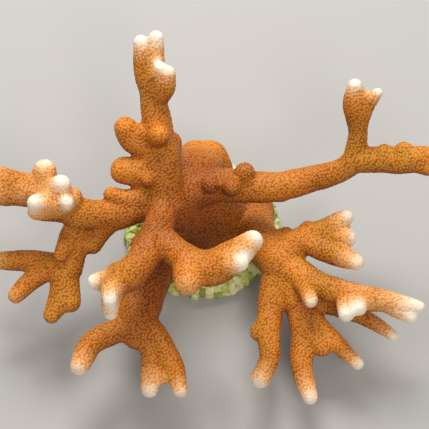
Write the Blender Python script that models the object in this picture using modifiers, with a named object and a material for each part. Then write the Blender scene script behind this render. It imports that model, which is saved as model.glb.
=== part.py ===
"""A velvet finger coral on its loose round stone, modelled at its real size.

The colony is a clump of round, blunt fingers that fork again and again from one short trunk.
Its growth is written down as a plan: every finger is a row of points through its middle, each
with the thickness the finger has there. The colony is split at its main forks: the fingers of
one limb are swept into tubes and grown together into one solid, which is then cut back to the
skin of the limb that it grew on. The trunk is cut off flat where it sits on the stone.

Units are metres, +Z is up, and the origin is the centre of the stone's flat underside. The
fingers that lean towards -Y are the front ones.
"""

import math

import bmesh
import bpy
from mathutils import Matrix, Vector, noise

MM = 0.001

# Stone
STONE_RADIUS = 27 * MM
STONE_HEIGHT = 8 * MM
STONE_EDGE = 2.2 * MM
STONE_FLAT_TOP = 21 * MM
STONE_SIDES = 44
STONE_LUMPS_FROM = 22 * MM
STONE_LUMP_SIZE = 7 * MM
STONE_LUMP_DEPTH = 1.1 * MM
STONE_CREASE = math.radians(40)

# Skin of the limbs: the share is that of the triangles that are kept
VOXEL = 0.9 * MM
SMOOTH_STEPS = 3
KEPT_SHARE = 0.038
LIMB_CREASE = math.radians(50)

# Gap between neighbouring solids
GAP = 0.3 * MM

# Sweep: the rings of a round tip reach almost to its pole
SWEEP_STEP = 1.5 * MM
DOME_STEPS = 4
DOME_TURN = math.radians(84)

# Crust that spreads from the trunk over the stone
CRUST_WIDTH = 39 * MM
CRUST_DEPTH = 36 * MM
CRUST_RISE = 4.5 * MM
CRUST_CENTRE = Vector((3 * MM, 1 * MM, STONE_HEIGHT + GAP))

# The growth plan, in millimetres. A limb's name is followed by the limbs that it is cut back
# to, and by its fingers. A finger is a row of (x, y, z, thickness), and its last point is the
# middle of its round tip.
GROWTH = {
    "trunk": ([], [
        [(3, -1, 6, 31), (0, -3, 16, 24), (-7, -6, 28, 19), (-12, -9, 37, 18)],
        [(0, 9, 11, 16), (-5, 4, 26, 15), (-11, -4, 37, 14)],
        [(5, 0, 12, 26), (3, -1, 22, 22), (0, -1, 31, 16)],
        [(-9, -3, 36, 16), (-4, 6, 31, 16), (0, 13, 24, 15)],
    ]),
    "back_lobe": (["trunk"], [
        [(-2, 13, 9, 15), (-2, 15, 17, 14), (-2, 17, 22, 13)],
        [(3, 13, 9, 15), (4, 14, 17, 14), (3, 18, 21, 12)],
    ]),
    "back_limb": (["trunk"], [
        [(-12, -9, 38, 14), (-13, -3, 44, 14), (-13, 3, 50, 12), (-14, 9, 57, 10),
         (-15, 15, 63, 9), (-15, 21, 70, 8), (-14, 28, 78, 5.5)],
        [(-15, 15, 63, 8), (-18, 22, 69, 7), (-19, 28, 76, 5)],
        [(-14, 16, 66, 8), (-12.5, 19, 74.5, 5)],
        [(-14, 15, 64, 8), (-11.5, 16, 69, 8), (-10.5, 18, 73, 6)],
        [(-14, 4, 50, 10), (-22, 6, 53, 9), (-24, 8, 57, 8)],
        [(-14, 5, 54, 8), (-13, 3, 61, 6.5)],
        [(-15, 6, 54, 8), (-18.5, 7, 56, 6.5)],
        [(-14, -1, 45, 10), (-20, -2, 46, 10), (-25, -2, 47, 9)],
        [(-15, -4, 43, 8), (-17, -7, 50, 5)],
        [(-12, 3, 46, 12), (-10, 8, 48, 8)],
    ]),
    "right_high_limb": (["trunk", "back_limb"], [
        [(-9, -6, 36, 14), (3, -2, 37, 12), (15, -3, 38, 11), (25, -4, 40, 10), (35, -3, 43, 9),
         (44, -3, 48, 8), (49, -1, 52, 8)],
        [(14, -2, 39, 8), (14, -1, 44, 7)],
        [(9, -3, 39, 8), (10, -7, 45, 6)],
        [(3, -2, 38, 8), (3, -5, 43, 6)],
        [(25, -5, 40, 8), (26, -5.5, 38.5, 6.5)],
        [(19, -4, 38, 8), (19, -5, 37, 7)],
    ]),
    "right_high_finger_back": (["right_high_limb"], [
        [(49, -1, 52, 8), (49.8, 5, 60, 6.7), (48.4, 10, 68, 8), (48, 13, 74, 5)],
        [(50, 6, 62, 6), (52, 9, 68, 5), (55, 11, 73, 4)],
        [(50, 8, 66, 6), (52, 11, 71, 4)],
    ]),
    "right_high_finger_side": (["right_high_limb", "right_high_finger_back"], [
        [(49, -1, 52, 8), (57, -2, 54, 9), (64, -4, 57, 9), (70, -5, 60, 8), (74, -6, 62, 7)],
        [(66, -4, 58, 8), (73, -8.5, 60, 6.5)],
        [(62, -3, 57, 7), (64, -2, 60, 6)],
        [(57, -2, 54, 7), (58, -1, 57, 6)],
    ]),
    "left_limb": (["trunk", "back_limb"], [
        [(-11, -9, 37, 13), (-20, -10, 38, 11.5), (-28, -13, 38, 11), (-34, -14.5, 40, 10),
         (-40, -15, 42, 11)],
        [(-18, -9, 41, 9), (-24, -10, 42.5, 6.5), (-29, -9, 44, 5)],
    ]),
    "left_upper_finger": (["left_limb"], [
        [(-40, -15, 43, 9), (-46, -13, 47, 13), (-44, -11, 54, 7)],
        [(-46, -14, 47, 12), (-52, -17, 53, 6)],
        [(-44, -14, 47, 11), (-42, -17, 53, 5)],
        [(-47, -15, 46, 10), (-52, -18, 49, 6)],
        [(-42, -14, 45, 9), (-41.5, -12.5, 47.5, 8)],
    ]),
    "left_far_finger": (["left_limb", "left_upper_finger"], [
        [(-46, -14, 47, 12), (-51, -9.6, 46, 11.2), (-57, -8.8, 47, 11.2), (-63, -7.8, 49, 10.2),
         (-66, -6, 50, 8.5)],
        [(-58, -9, 47, 10), (-63, -10, 48, 10), (-66, -11, 49, 8)],
        [(-50, -8, 47, 9), (-50, -4.5, 51, 8)],
    ]),
    "left_low_limb": (["left_limb", "left_upper_finger"], [
        [(-40, -15, 41, 8), (-41, -21, 34, 9), (-43, -28, 29, 10), (-45, -30, 28, 10)],
        [(-42, -20, 36, 8), (-44, -25, 37, 6), (-45, -27, 36, 5)],
        [(-30, -14, 37, 9), (-33, -18, 35, 8), (-35, -22, 33, 6)],
        [(-40, -21, 34, 8), (-35, -22, 33, 6)],
    ]),
    "left_low_side_finger": (["left_low_limb"], [
        [(-44, -28, 28, 9), (-53, -25, 27, 8), (-61, -24, 26, 7), (-67, -24, 26, 6)],
        [(-49, -27, 27, 8), (-55, -31, 26, 7), (-60, -36, 25, 6)],
    ]),
    "left_low_front_finger": (["left_low_limb", "left_low_side_finger"], [
        [(-44, -29, 28, 10), (-45, -36, 26, 9), (-48, -43, 25, 6)],
        [(-43, -33, 27, 8), (-42, -39, 26, 7)],
    ]),
    "front_limb": (["trunk", "left_limb", "right_high_limb"], [
        [(-12, -9, 38, 14), (-13, -18, 42, 10), (-14, -24, 45, 11)],
        [(-14, -23, 43, 9), (-19, -26, 42, 7)],
    ]),
    "front_left_limb": (["front_limb"], [
        [(-14, -24, 45, 9), (-16.5, -30, 47, 10.5), (-19, -36.5, 49, 10), (-24, -43, 52, 10),
         (-32, -44.5, 53, 6)],
        [(-24, -42, 52, 10), (-27, -49, 57, 7), (-27, -53, 58, 5)],
        [(-25, -42, 51, 10), (-27, -50, 53, 7), (-27, -55, 53, 5)],
    ]),
    "front_right_limb": (["front_limb", "front_left_limb"], [
        [(-14, -24, 45, 9), (-6, -33, 47, 10), (2, -38, 49, 12), (9, -36, 52, 11),
         (16, -32, 56, 7)],
        [(6, -38, 51, 10), (12, -39, 55, 6)],
        [(-4, -35, 48, 11), (-4, -43, 50, 9)],
    ]),
    "front_low_limb": (["trunk"], [
        [(-10, -8, 24, 15), (-13, -20, 25, 13), (-17.5, -32, 25, 14), (-20.5, -43, 25, 14),
         (-20, -49, 25, 12)],
    ]),
    "front_low_finger_left": (["front_low_limb"], [
        [(-21, -46, 25, 9), (-29, -50, 26, 8), (-35, -54, 27, 8), (-38, -61.6, 28, 7)],
    ]),
    "front_low_finger_middle": (["front_low_limb", "front_low_finger_left"], [
        [(-19, -48, 24, 9), (-16, -55, 23, 7), (-16.3, -61, 21, 6.4), (-16.3, -66.3, 20, 6.4)],
    ]),
    "front_low_finger_right": (["front_low_limb", "front_low_finger_middle"], [
        [(-18, -46, 25, 9), (-12, -54, 24, 8), (-8.7, -60, 23, 7.2), (-6.6, -67.6, 22, 5.4)],
        [(-11, -56, 22, 6), (-12, -63, 21, 5)],
    ]),
    "side_stem": (["trunk"], [
        [(18, 4, 8, 14), (18, -4, 15, 13), (20, -14, 20, 13), (26, -23, 24, 15)],
        [(23, -17, 23, 9), (28, -14.5, 25.5, 6.5)],
    ]),
    "side_high_finger": (["side_stem"], [
        [(26, -22, 25, 12.5), (33, -18.5, 29.5, 10), (40, -17, 33, 9), (47, -14, 38, 6)],
        [(35, -20, 31, 8), (43, -25, 33, 8), (49.5, -29, 35, 6)],
        [(41, -19, 33, 8), (47, -20, 35, 7)],
        [(33, -18, 29, 9), (35, -15, 31, 6)],
    ]),
    "side_long_finger": (["side_stem", "side_high_finger"], [
        [(26, -23.5, 24, 12), (37, -32.5, 27, 9), (49, -37.5, 28, 9), (60, -40.5, 30, 7.5),
         (69.5, -43, 31, 4.5)],
        [(60, -41, 29, 7), (67, -45.5, 29, 5)],
        [(47, -38, 29, 8), (46, -45.5, 32, 6)],
        [(50, -38, 29, 8), (50, -43.5, 32, 6)],
        [(33, -32, 27, 8), (35, -41, 32, 5)],
    ]),
    "side_low_limb": (["side_stem", "side_long_finger"], [
        [(27, -25, 23, 12), (31, -35, 20, 11)],
    ]),
    "side_front_finger": (["side_low_limb"], [
        [(31, -34, 20, 9), (33, -45, 17, 8.5), (32.5, -57, 15, 7.5), (35, -67, 14, 5.5)],
        [(34, -45, 18, 8), (39, -51, 18, 7)],
    ]),
    "side_fork_finger": (["side_low_limb", "side_front_finger"], [
        [(32, -36, 20, 9), (38, -44, 19, 7), (44, -50, 18, 6), (50.5, -56.5, 17, 4.5)],
    ]),
    "side_under_finger": (["side_low_limb", "side_fork_finger", "side_long_finger"], [
        [(31, -34, 20, 9), (42, -37, 20, 7), (52, -41, 20, 6), (57.5, -44.5, 20, 5),
         (62, -48, 20, 4.5)],
    ]),
    "side_inner_finger": (["side_stem", "side_low_limb", "side_front_finger"], [
        [(26, -24, 23, 11), (23, -34, 20, 9), (22, -46, 18, 8), (22, -55, 18, 7),
         (19, -62, 18, 7)],
        [(22, -42, 19, 8), (18.5, -46, 18, 6)],
    ]),
}

# Finish of the two things the object is made of
FINISHES = {
    "tissue": ((0.56, 0.20, 0.045, 1), 0.75),
    "stone": ((0.33, 0.36, 0.17, 1), 0.9),
}


def clear_scene():
    for item in list(bpy.data.objects):
        bpy.data.objects.remove(item)


def make_collection(name):
    collection = bpy.data.collections.new(name)
    bpy.context.scene.collection.children.link(collection)
    return collection


def make_material(name):
    colour, roughness = FINISHES[name]
    material = bpy.data.materials.new(name)
    material.use_nodes = True
    shader = material.node_tree.nodes["Principled BSDF"]
    shader.inputs["Base Color"].default_value = colour
    shader.inputs["Roughness"].default_value = roughness
    shader.inputs["Metallic"].default_value = 0
    return material


def between(before, start, end, after, share):
    """The point at share of the way from start to end on a smooth curve through all four."""
    bend = 2 * before - 5 * start + 4 * end - after
    turn = 3 * start - before - 3 * end + after
    return 0.5 * (2 * start + share * ((end - before) + share * (bend + share * turn)))


def swept_points(finger):
    """The middle line of a finger, in metres, as (place, radius) every SWEEP_STEP."""
    knots = [Vector((x, y, z, width / 2)) * MM for x, y, z, width in finger]
    ends = [2 * knots[0] - knots[1]] + knots + [2 * knots[-1] - knots[-2]]
    line = []
    for before, start, end, after in zip(ends, ends[1:], ends[2:], ends[3:]):
        steps = max(2, round((end - start).to_3d().length / SWEEP_STEP))
        line += [between(before, start, end, after, i / steps) for i in range(steps)]
    line.append(knots[-1])
    return [(point.to_3d(), point.w) for point in line]


def domed(line):
    """The same line with a half ball added at each end."""
    turns = [i / DOME_STEPS * DOME_TURN for i in range(DOME_STEPS, 0, -1)]
    (root, root_radius), (tip, tip_radius) = line[0], line[-1]
    back = (root - line[1][0]).normalized()
    ahead = (tip - line[-2][0]).normalized()
    first = [(root + back * root_radius * math.sin(t), root_radius * math.cos(t)) for t in turns]
    last = [(tip + ahead * tip_radius * math.sin(t), tip_radius * math.cos(t)) for t in turns]
    return first + line + last[::-1]


def evaluated_mesh(item):
    """The mesh of an object with its modifiers, as a new datablock."""
    graph = bpy.context.evaluated_depsgraph_get()
    return bpy.data.meshes.new_from_object(item.evaluated_get(graph))


def finger_mesh(finger):
    """One finger as a closed tube with round ends."""
    curve = bpy.data.curves.new("finger", "CURVE")
    curve.dimensions = "3D"
    curve.bevel_depth = 1
    curve.bevel_resolution = 6
    curve.use_fill_caps = True
    line = domed(swept_points(finger))
    spline = curve.splines.new("POLY")
    spline.points.add(len(line) - 1)
    for point, (place, radius) in zip(spline.points, line):
        point.co = (*place, 1)
        point.radius = radius
    item = bpy.data.objects.new("finger", curve)
    bpy.context.scene.collection.objects.link(item)
    mesh = evaluated_mesh(item)
    bpy.data.objects.remove(item)
    bpy.data.curves.remove(curve)
    return mesh


def add_crust(body):
    """The low mound of tissue that spreads from the foot of the trunk."""
    spread = Matrix.Diagonal((CRUST_WIDTH / 2, CRUST_DEPTH / 2, CRUST_RISE, 1))
    bmesh.ops.create_uvsphere(body, u_segments=32, v_segments=16, radius=1,
                              matrix=Matrix.Translation(CRUST_CENTRE) @ spread)


def grow_limb(name, material, collection):
    """The fingers of one limb, grown together into one skin with rounded forks."""
    body = bmesh.new()
    for finger in GROWTH[name][1]:
        mesh = finger_mesh(finger)
        body.from_mesh(mesh)
        bpy.data.meshes.remove(mesh)
    if name == "trunk":
        add_crust(body)
    bmesh.ops.remove_doubles(body, verts=body.verts, dist=0.001 * MM)
    mesh = bpy.data.meshes.new(name)
    body.to_mesh(mesh)
    body.free()
    limb = bpy.data.objects.new(name, mesh)
    collection.objects.link(limb)
    remesh = limb.modifiers.new("grow together", "REMESH")
    remesh.mode = "VOXEL"
    remesh.voxel_size = VOXEL
    smooth = limb.modifiers.new("round the forks", "SMOOTH")
    smooth.factor = 0.5
    smooth.iterations = SMOOTH_STEPS
    coarse = limb.modifiers.new("facet", "DECIMATE")
    coarse.ratio = KEPT_SHARE
    keep_result(limb)
    limb.data.materials.clear()
    limb.data.materials.append(material)
    return limb


def keep_result(item):
    """Make what the modifiers give the object's own mesh."""
    item.data = evaluated_mesh(item)
    item.modifiers.clear()


def cut_away(limb, shape, swell):
    """Cut a limb back to the skin of another shape, leaving a gap of swell between them."""
    tool = bpy.data.objects.new("cutter", shape.copy())
    bpy.context.scene.collection.objects.link(tool)
    if swell:
        swelling = tool.modifiers.new("gap", "DISPLACE")
        swelling.strength = swell
        swelling.mid_level = 0
        keep_result(tool)
    cutting = limb.modifiers.new("cut back", "BOOLEAN")
    cutting.operation = "DIFFERENCE"
    cutting.solver = "MANIFOLD"
    cutting.object = tool
    keep_result(limb)
    bpy.data.objects.remove(tool)


def joined_to(start):
    """All the points of a mesh that edges join to the start point."""
    found = {start}
    waiting = [start]
    while waiting:
        point = waiting.pop()
        beside = {edge.other_vert(point) for edge in point.link_edges} - found
        found |= beside
        waiting += beside
    return found


def drop_crumbs(limb):
    """Keep only the largest piece of a limb, not the crumbs past the solid it was cut to."""
    body = bmesh.new()
    body.from_mesh(limb.data)
    left = set(body.verts)
    pieces = []
    while left:
        piece = joined_to(next(iter(left)))
        pieces.append(piece)
        left -= piece
    largest = max(pieces, key=len)
    crumbs = [point for point in body.verts if point not in largest]
    bmesh.ops.delete(body, geom=crumbs, context="VERTS")
    body.to_mesh(limb.data)
    body.free()


def floor_shape():
    """A block whose top lies just above the stone, where the colony is cut off flat."""
    block = bmesh.new()
    size = 4 * STONE_RADIUS
    top = STONE_HEIGHT + GAP
    bmesh.ops.create_cube(block, size=size, matrix=Matrix.Translation((0, 0, top - size / 2)))
    shape = bpy.data.meshes.new("floor_block")
    block.to_mesh(shape)
    block.free()
    return shape


def make_limbs(collection, material):
    """Every limb, cut back to the whole shapes of the limbs beside it."""
    floor = floor_shape()
    shapes = {}
    for name, (neighbours, fingers) in GROWTH.items():
        limb = grow_limb(name, material, collection)
        shapes[name] = limb.data.copy()
        if any(z * MM < STONE_HEIGHT + width * MM for row in fingers for _, _, z, width in row):
            cut_away(limb, floor, 0)
        for neighbour in neighbours:
            cut_away(limb, shapes[neighbour], GAP)
        drop_crumbs(limb)
        limb.data.shade_smooth()
        limb.data.set_sharp_from_angle(angle=LIMB_CREASE)


def stone_profile():
    """The stone's outline at +X, from the middle of its top round its edge to the bottom."""
    edge, height, radius = STONE_EDGE, STONE_HEIGHT, STONE_RADIUS
    return [
        (0, height), (STONE_FLAT_TOP / 2, height), (STONE_FLAT_TOP, height),
        (radius - edge, height - 0.2 * edge), (radius, height - edge), (radius, height / 2),
        (radius, edge), (radius - edge, 0), (radius / 2, 0), (0, 0),
    ]


def make_stone(collection, material):
    """A round slab of gravel: a turned profile whose edge is pushed in and out in lumps."""
    profile = bpy.data.meshes.new("base_stone")
    points = [(x, 0, z) for x, z in stone_profile()]
    profile.from_pydata(points, [(i, i + 1) for i in range(len(points) - 1)], [])
    stone = bpy.data.objects.new("base_stone", profile)
    collection.objects.link(stone)
    screw = stone.modifiers.new("turn", "SCREW")
    screw.steps = STONE_SIDES
    screw.render_steps = STONE_SIDES
    screw.use_merge_vertices = True
    screw.merge_threshold = 0.01 * MM
    keep_result(stone)
    for vertex in stone.data.vertices:
        x, y, z = vertex.co
        away = math.hypot(x, y)
        if away > STONE_LUMPS_FROM:
            lump = noise.noise(vertex.co / STONE_LUMP_SIZE) * STONE_LUMP_DEPTH
            vertex.co.x += x / away * lump
            vertex.co.y += y / away * lump
    stone.data.materials.clear()
    stone.data.materials.append(material)
    stone.data.shade_smooth()
    stone.data.set_sharp_from_angle(angle=STONE_CREASE)
    return stone


def main():
    clear_scene()
    parts = make_collection("velvet_finger_coral")
    make_limbs(parts, make_material("tissue"))
    make_stone(parts, make_material("stone"))


main()
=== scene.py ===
# %% [markdown]
# # A finger coral on its stone
#
# This lesson gives a branching coral its looks: blunt fingers that fork from one trunk, a skin
# of tiny round cups called calices, pale growing tips, and a rough stone under it all. The
# model that the frame loads already has every limb at its real size and place. Each step below
# makes a finer surface on that shape.
#
# Everything is in metres, +Z is up, and the stone's flat underside is at height 0.

# %% Load the frame
import math

import bmesh
import bpy
import numpy as np
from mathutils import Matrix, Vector


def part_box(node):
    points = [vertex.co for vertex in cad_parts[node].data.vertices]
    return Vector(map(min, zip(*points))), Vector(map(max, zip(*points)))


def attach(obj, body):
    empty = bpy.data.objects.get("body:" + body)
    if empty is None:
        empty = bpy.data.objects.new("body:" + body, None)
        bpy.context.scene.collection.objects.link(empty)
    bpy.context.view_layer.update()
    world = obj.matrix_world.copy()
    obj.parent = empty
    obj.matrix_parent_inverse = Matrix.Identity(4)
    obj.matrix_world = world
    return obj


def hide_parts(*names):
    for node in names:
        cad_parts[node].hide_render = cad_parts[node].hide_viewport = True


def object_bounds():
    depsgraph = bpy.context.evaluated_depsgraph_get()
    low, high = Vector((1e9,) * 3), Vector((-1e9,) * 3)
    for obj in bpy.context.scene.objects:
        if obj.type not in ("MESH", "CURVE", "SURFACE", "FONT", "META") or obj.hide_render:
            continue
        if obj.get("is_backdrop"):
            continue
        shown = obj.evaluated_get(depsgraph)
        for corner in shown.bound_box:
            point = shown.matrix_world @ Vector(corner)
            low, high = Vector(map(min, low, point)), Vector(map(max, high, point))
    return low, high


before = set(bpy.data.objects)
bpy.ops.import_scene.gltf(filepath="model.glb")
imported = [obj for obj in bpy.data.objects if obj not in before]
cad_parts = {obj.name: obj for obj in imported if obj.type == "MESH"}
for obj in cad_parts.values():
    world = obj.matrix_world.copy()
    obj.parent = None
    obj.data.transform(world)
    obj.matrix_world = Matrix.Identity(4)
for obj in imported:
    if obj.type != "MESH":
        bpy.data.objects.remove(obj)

MM = 0.001
cad_box = [list(corner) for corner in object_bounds()]
print("frame box in mm:", [[round(v / MM, 1) for v in corner] for corner in cad_box])

# %% [markdown]
# ## The growth plan
#
# A coral limb grows like a candle that is dipped again and again: it has a line through its
# middle, and a thickness at each place. So a finger is written as a row of points with a
# thickness, and a limb as a few fingers. Points and thicknesses are in millimetres. The last
# point is the middle of the round tip. The skin is palest where the coral grows fastest, so a
# finger starts with two more numbers: how far the pale zone reaches back from its tip, and how
# pale the tip is, from 0 to 1. A reach of 1 with a paleness of 0 is a young tip that isn't pale,
# and a reach of 0 is old growth.

# %% Growth plan
GROWTH = {
    "trunk": [
        (0, 0, [(3, -1, 6, 31), (0, -3, 16, 24), (-7, -6, 28, 19), (-12, -9, 37, 18)]),
        (0, 0, [(0, 9, 11, 16), (-5, 4, 26, 15), (-11, -4, 37, 14)]),
        (0, 0, [(5, 0, 12, 26), (3, -1, 22, 22), (0, -1, 31, 16)]),
        (0, 0, [(-9, -3, 36, 16), (-4, 6, 31, 16), (0, 13, 24, 15)]),
    ],
    "back_lobe": [
        (0, 0, [(-2, 13, 9, 15), (-2, 15, 17, 14), (-2, 17, 22, 13)]),
        (1, 0, [(3, 13, 9, 15), (4, 14, 17, 14), (3, 18, 21, 12)]),
    ],
    "back_limb": [
        (11, 1.0, [(-12, -9, 38, 14), (-13, -3, 44, 14), (-13, 3, 50, 12), (-14, 9, 57, 10),
                   (-15, 15, 63, 9), (-15, 21, 70, 8), (-14, 28, 78, 5.5)]),
        (9, 1.0, [(-15, 15, 63, 8), (-18, 22, 69, 7), (-19, 28, 76, 5)]),
        (6, 1.0, [(-14, 16, 66, 8), (-12.5, 19, 74.5, 5)]),
        (7, 0.9, [(-14, 15, 64, 8), (-11.5, 16, 69, 8), (-10.5, 18, 73, 6)]),
        (1, 0, [(-14, 4, 50, 10), (-22, 6, 53, 9), (-24, 8, 57, 8)]),
        (1, 0, [(-14, 5, 54, 8), (-13, 3, 61, 6.5)]),
        (0, 0, [(-15, 6, 54, 8), (-18.5, 7, 56, 6.5)]),
        (1, 0, [(-14, -1, 45, 10), (-20, -2, 46, 10), (-25, -2, 47, 9)]),
        (0, 0, [(-15, -4, 43, 8), (-17, -7, 50, 5)]),
        (0, 0, [(-12, 3, 46, 12), (-10, 8, 48, 8)]),
    ],
    "right_high_limb": [
        (1, 0, [(-9, -6, 36, 14), (3, -2, 37, 12), (15, -3, 38, 11), (25, -4, 40, 10),
                (35, -3, 43, 9), (44, -3, 48, 8), (49, -1, 52, 8)]),
        (0, 0, [(14, -2, 39, 8), (14, -1, 44, 7)]),
        (0, 0, [(9, -3, 39, 8), (10, -7, 45, 6)]),
        (0, 0, [(3, -2, 38, 8), (3, -5, 43, 6)]),
        (1, 0, [(25, -5, 40, 8), (26, -5.5, 38.5, 6.5)]),
        (0, 0, [(19, -4, 38, 8), (19, -5, 37, 7)]),
    ],
    "right_high_finger_back": [
        (7, 1.0, [(49, -1, 52, 8), (49.8, 5, 60, 6.7), (48.4, 10, 68, 8), (48, 13, 74, 5)]),
        (6, 0.9, [(50, 6, 62, 6), (52, 9, 68, 5), (55, 11, 73, 4)]),
        (3, 0.6, [(50, 8, 66, 6), (52, 11, 71, 4)]),
    ],
    "right_high_finger_side": [
        (5, 0.7, [(49, -1, 52, 8), (57, -2, 54, 9), (64, -4, 57, 9), (70, -5, 60, 8),
                  (74, -6, 62, 7)]),
        (5, 0.7, [(66, -4, 58, 8), (73, -8.5, 60, 6.5)]),
        (1, 0, [(62, -3, 57, 7), (64, -2, 60, 6)]),
        (1, 0, [(57, -2, 54, 7), (58, -1, 57, 6)]),
    ],
    "left_limb": [
        (1, 0, [(-11, -9, 37, 13), (-20, -10, 38, 11.5), (-28, -13, 38, 11), (-34, -14.5, 40, 10),
                (-40, -15, 42, 11)]),
        (0, 0, [(-18, -9, 41, 9), (-24, -10, 42.5, 6.5), (-29, -9, 44, 5)]),
    ],
    "left_upper_finger": [
        (11, 0.95, [(-40, -15, 43, 9), (-46, -13, 47, 13), (-44, -11, 54, 7)]),
        (10, 1.0, [(-46, -14, 47, 12), (-52, -17, 53, 6)]),
        (8, 0.9, [(-44, -14, 47, 11), (-42, -17, 53, 5)]),
        (6, 0.5, [(-47, -15, 46, 10), (-52, -18, 49, 6)]),
        (0, 0, [(-42, -14, 45, 9), (-41.5, -12.5, 47.5, 8)]),
    ],
    "left_far_finger": [
        (9, 0.6, [(-46, -14, 47, 12), (-51, -9.6, 46, 11.2), (-57, -8.8, 47, 11.2),
                  (-63, -7.8, 49, 10.2), (-66, -6, 50, 8.5)]),
        (9, 0.6, [(-58, -9, 47, 10), (-63, -10, 48, 10), (-66, -11, 49, 8)]),
        (8, 0.8, [(-50, -8, 47, 9), (-50, -4.5, 51, 8)]),
    ],
    "left_low_limb": [
        (0, 0, [(-40, -15, 41, 8), (-41, -21, 34, 9), (-43, -28, 29, 10), (-45, -30, 28, 10)]),
        (1, 0, [(-42, -20, 36, 8), (-44, -25, 37, 6), (-45, -27, 36, 5)]),
        (0, 0, [(-30, -14, 37, 9), (-33, -18, 35, 8), (-35, -22, 33, 6)]),
        (0, 0, [(-40, -21, 34, 8), (-35, -22, 33, 6)]),
    ],
    "left_low_side_finger": [
        (8, 0.7, [(-44, -28, 28, 9), (-53, -25, 27, 8), (-61, -24, 26, 7), (-67, -24, 26, 6)]),
        (6, 0.35, [(-49, -27, 27, 8), (-55, -31, 26, 7), (-60, -36, 25, 6)]),
    ],
    "left_low_front_finger": [
        (1, 0, [(-44, -29, 28, 10), (-45, -36, 26, 9), (-48, -43, 25, 6)]),
        (1, 0, [(-43, -33, 27, 8), (-42, -39, 26, 7)]),
    ],
    "front_limb": [
        (0, 0, [(-12, -9, 38, 14), (-13, -18, 42, 10), (-14, -24, 45, 11)]),
        (0, 0, [(-14, -23, 43, 9), (-19, -26, 42, 7)]),
    ],
    "front_left_limb": [
        (9, 1.0, [(-14, -24, 45, 9), (-16.5, -30, 47, 10.5), (-19, -36.5, 49, 10),
                  (-24, -43, 52, 10), (-32, -44.5, 53, 6)]),
        (9, 1.0, [(-24, -42, 52, 10), (-27, -49, 57, 7), (-27, -53, 58, 5)]),
        (6, 0.9, [(-25, -42, 51, 10), (-27, -50, 53, 7), (-27, -55, 53, 5)]),
    ],
    "front_right_limb": [
        (9, 1.0, [(-14, -24, 45, 9), (-6, -33, 47, 10), (2, -38, 49, 12), (9, -36, 52, 11),
                  (16, -32, 56, 7)]),
        (8, 1.0, [(6, -38, 51, 10), (12, -39, 55, 6)]),
        (7, 0.4, [(-4, -35, 48, 11), (-4, -43, 50, 9)]),
    ],
    "front_low_limb": [
        (0, 0, [(-10, -8, 24, 15), (-13, -20, 25, 13), (-17.5, -32, 25, 14), (-20.5, -43, 25, 14),
                (-20, -49, 25, 12)]),
    ],
    "front_low_finger_left": [
        (9, 0.8, [(-21, -46, 25, 9), (-29, -50, 26, 8), (-35, -54, 27, 8), (-38, -61.6, 28, 7)]),
    ],
    "front_low_finger_middle": [
        (11, 0.9, [(-19, -48, 24, 9), (-16, -55, 23, 7), (-16.3, -61, 21, 6.4),
                   (-16.3, -66.3, 20, 6.4)]),
    ],
    "front_low_finger_right": [
        (8, 0.8, [(-18, -46, 25, 9), (-12, -54, 24, 8), (-8.7, -60, 23, 7.2),
                  (-6.6, -67.6, 22, 5.4)]),
        (3, 0.3, [(-11, -56, 22, 6), (-12, -63, 21, 5)]),
    ],
    "side_stem": [
        (1, 0, [(18, 4, 8, 14), (18, -4, 15, 13), (20, -14, 20, 13), (26, -23, 24, 15)]),
        (1, 0, [(23, -17, 23, 9), (28, -14.5, 25.5, 6.5)]),
    ],
    "side_high_finger": [
        (9, 1.0, [(26, -22, 25, 12.5), (33, -18.5, 29.5, 10), (40, -17, 33, 9), (47, -14, 38, 6)]),
        (10, 0.85, [(35, -20, 31, 8), (43, -25, 33, 8), (49.5, -29, 35, 6)]),
        (7, 0.9, [(41, -19, 33, 8), (47, -20, 35, 7)]),
        (1, 0, [(33, -18, 29, 9), (35, -15, 31, 6)]),
    ],
    "side_long_finger": [
        (20, 1.0, [(26, -23.5, 24, 12), (37, -32.5, 27, 9), (49, -37.5, 28, 9),
                   (60, -40.5, 30, 7.5), (69.5, -43, 31, 4.5)]),
        (12, 1.0, [(60, -41, 29, 7), (67, -45.5, 29, 5)]),
        (9, 1.0, [(47, -38, 29, 8), (46, -45.5, 32, 6)]),
        (8, 1.0, [(50, -38, 29, 8), (50, -43.5, 32, 6)]),
        (6, 0.8, [(33, -32, 27, 8), (35, -41, 32, 5)]),
    ],
    "side_low_limb": [
        (0, 0, [(27, -25, 23, 12), (31, -35, 20, 11)]),
    ],
    "side_front_finger": [
        (12, 0.9, [(31, -34, 20, 9), (33, -45, 17, 8.5), (32.5, -57, 15, 7.5),
                   (35, -67, 14, 5.5)]),
        (1, 0, [(34, -45, 18, 8), (39, -51, 18, 7)]),
    ],
    "side_fork_finger": [
        (8, 0.9, [(32, -36, 20, 9), (38, -44, 19, 7), (44, -50, 18, 6), (50.5, -56.5, 17, 4.5)]),
    ],
    "side_under_finger": [
        (9, 0.9, [(31, -34, 20, 9), (42, -37, 20, 7), (52, -41, 20, 6), (57.5, -44.5, 20, 5),
                  (62, -48, 20, 4.5)]),
    ],
    "side_inner_finger": [
        (9, 0.85, [(26, -24, 23, 11), (23, -34, 20, 9), (22, -46, 18, 8), (22, -55, 18, 7),
                   (19, -62, 18, 7)]),
        (1, 0, [(22, -42, 19, 8), (18.5, -46, 18, 6)]),
    ],
}
fingers = [finger for limb in GROWTH.values() for finger in limb]
print(len(GROWTH), "limbs with", len(fingers), "fingers")

# %% [markdown]
# ## From a few points to a smooth line
#
# Straight runs between the points would give bent pipes. A curve that passes through all the
# points, with its direction blended at each one, gives a grown line. The thickness is blended in
# the same way, as a fourth number beside x, y and z. Half a ball at each end makes it blunt. The
# small cups of the skin stand proud of it, so the line is drawn thinner by their height.

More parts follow.
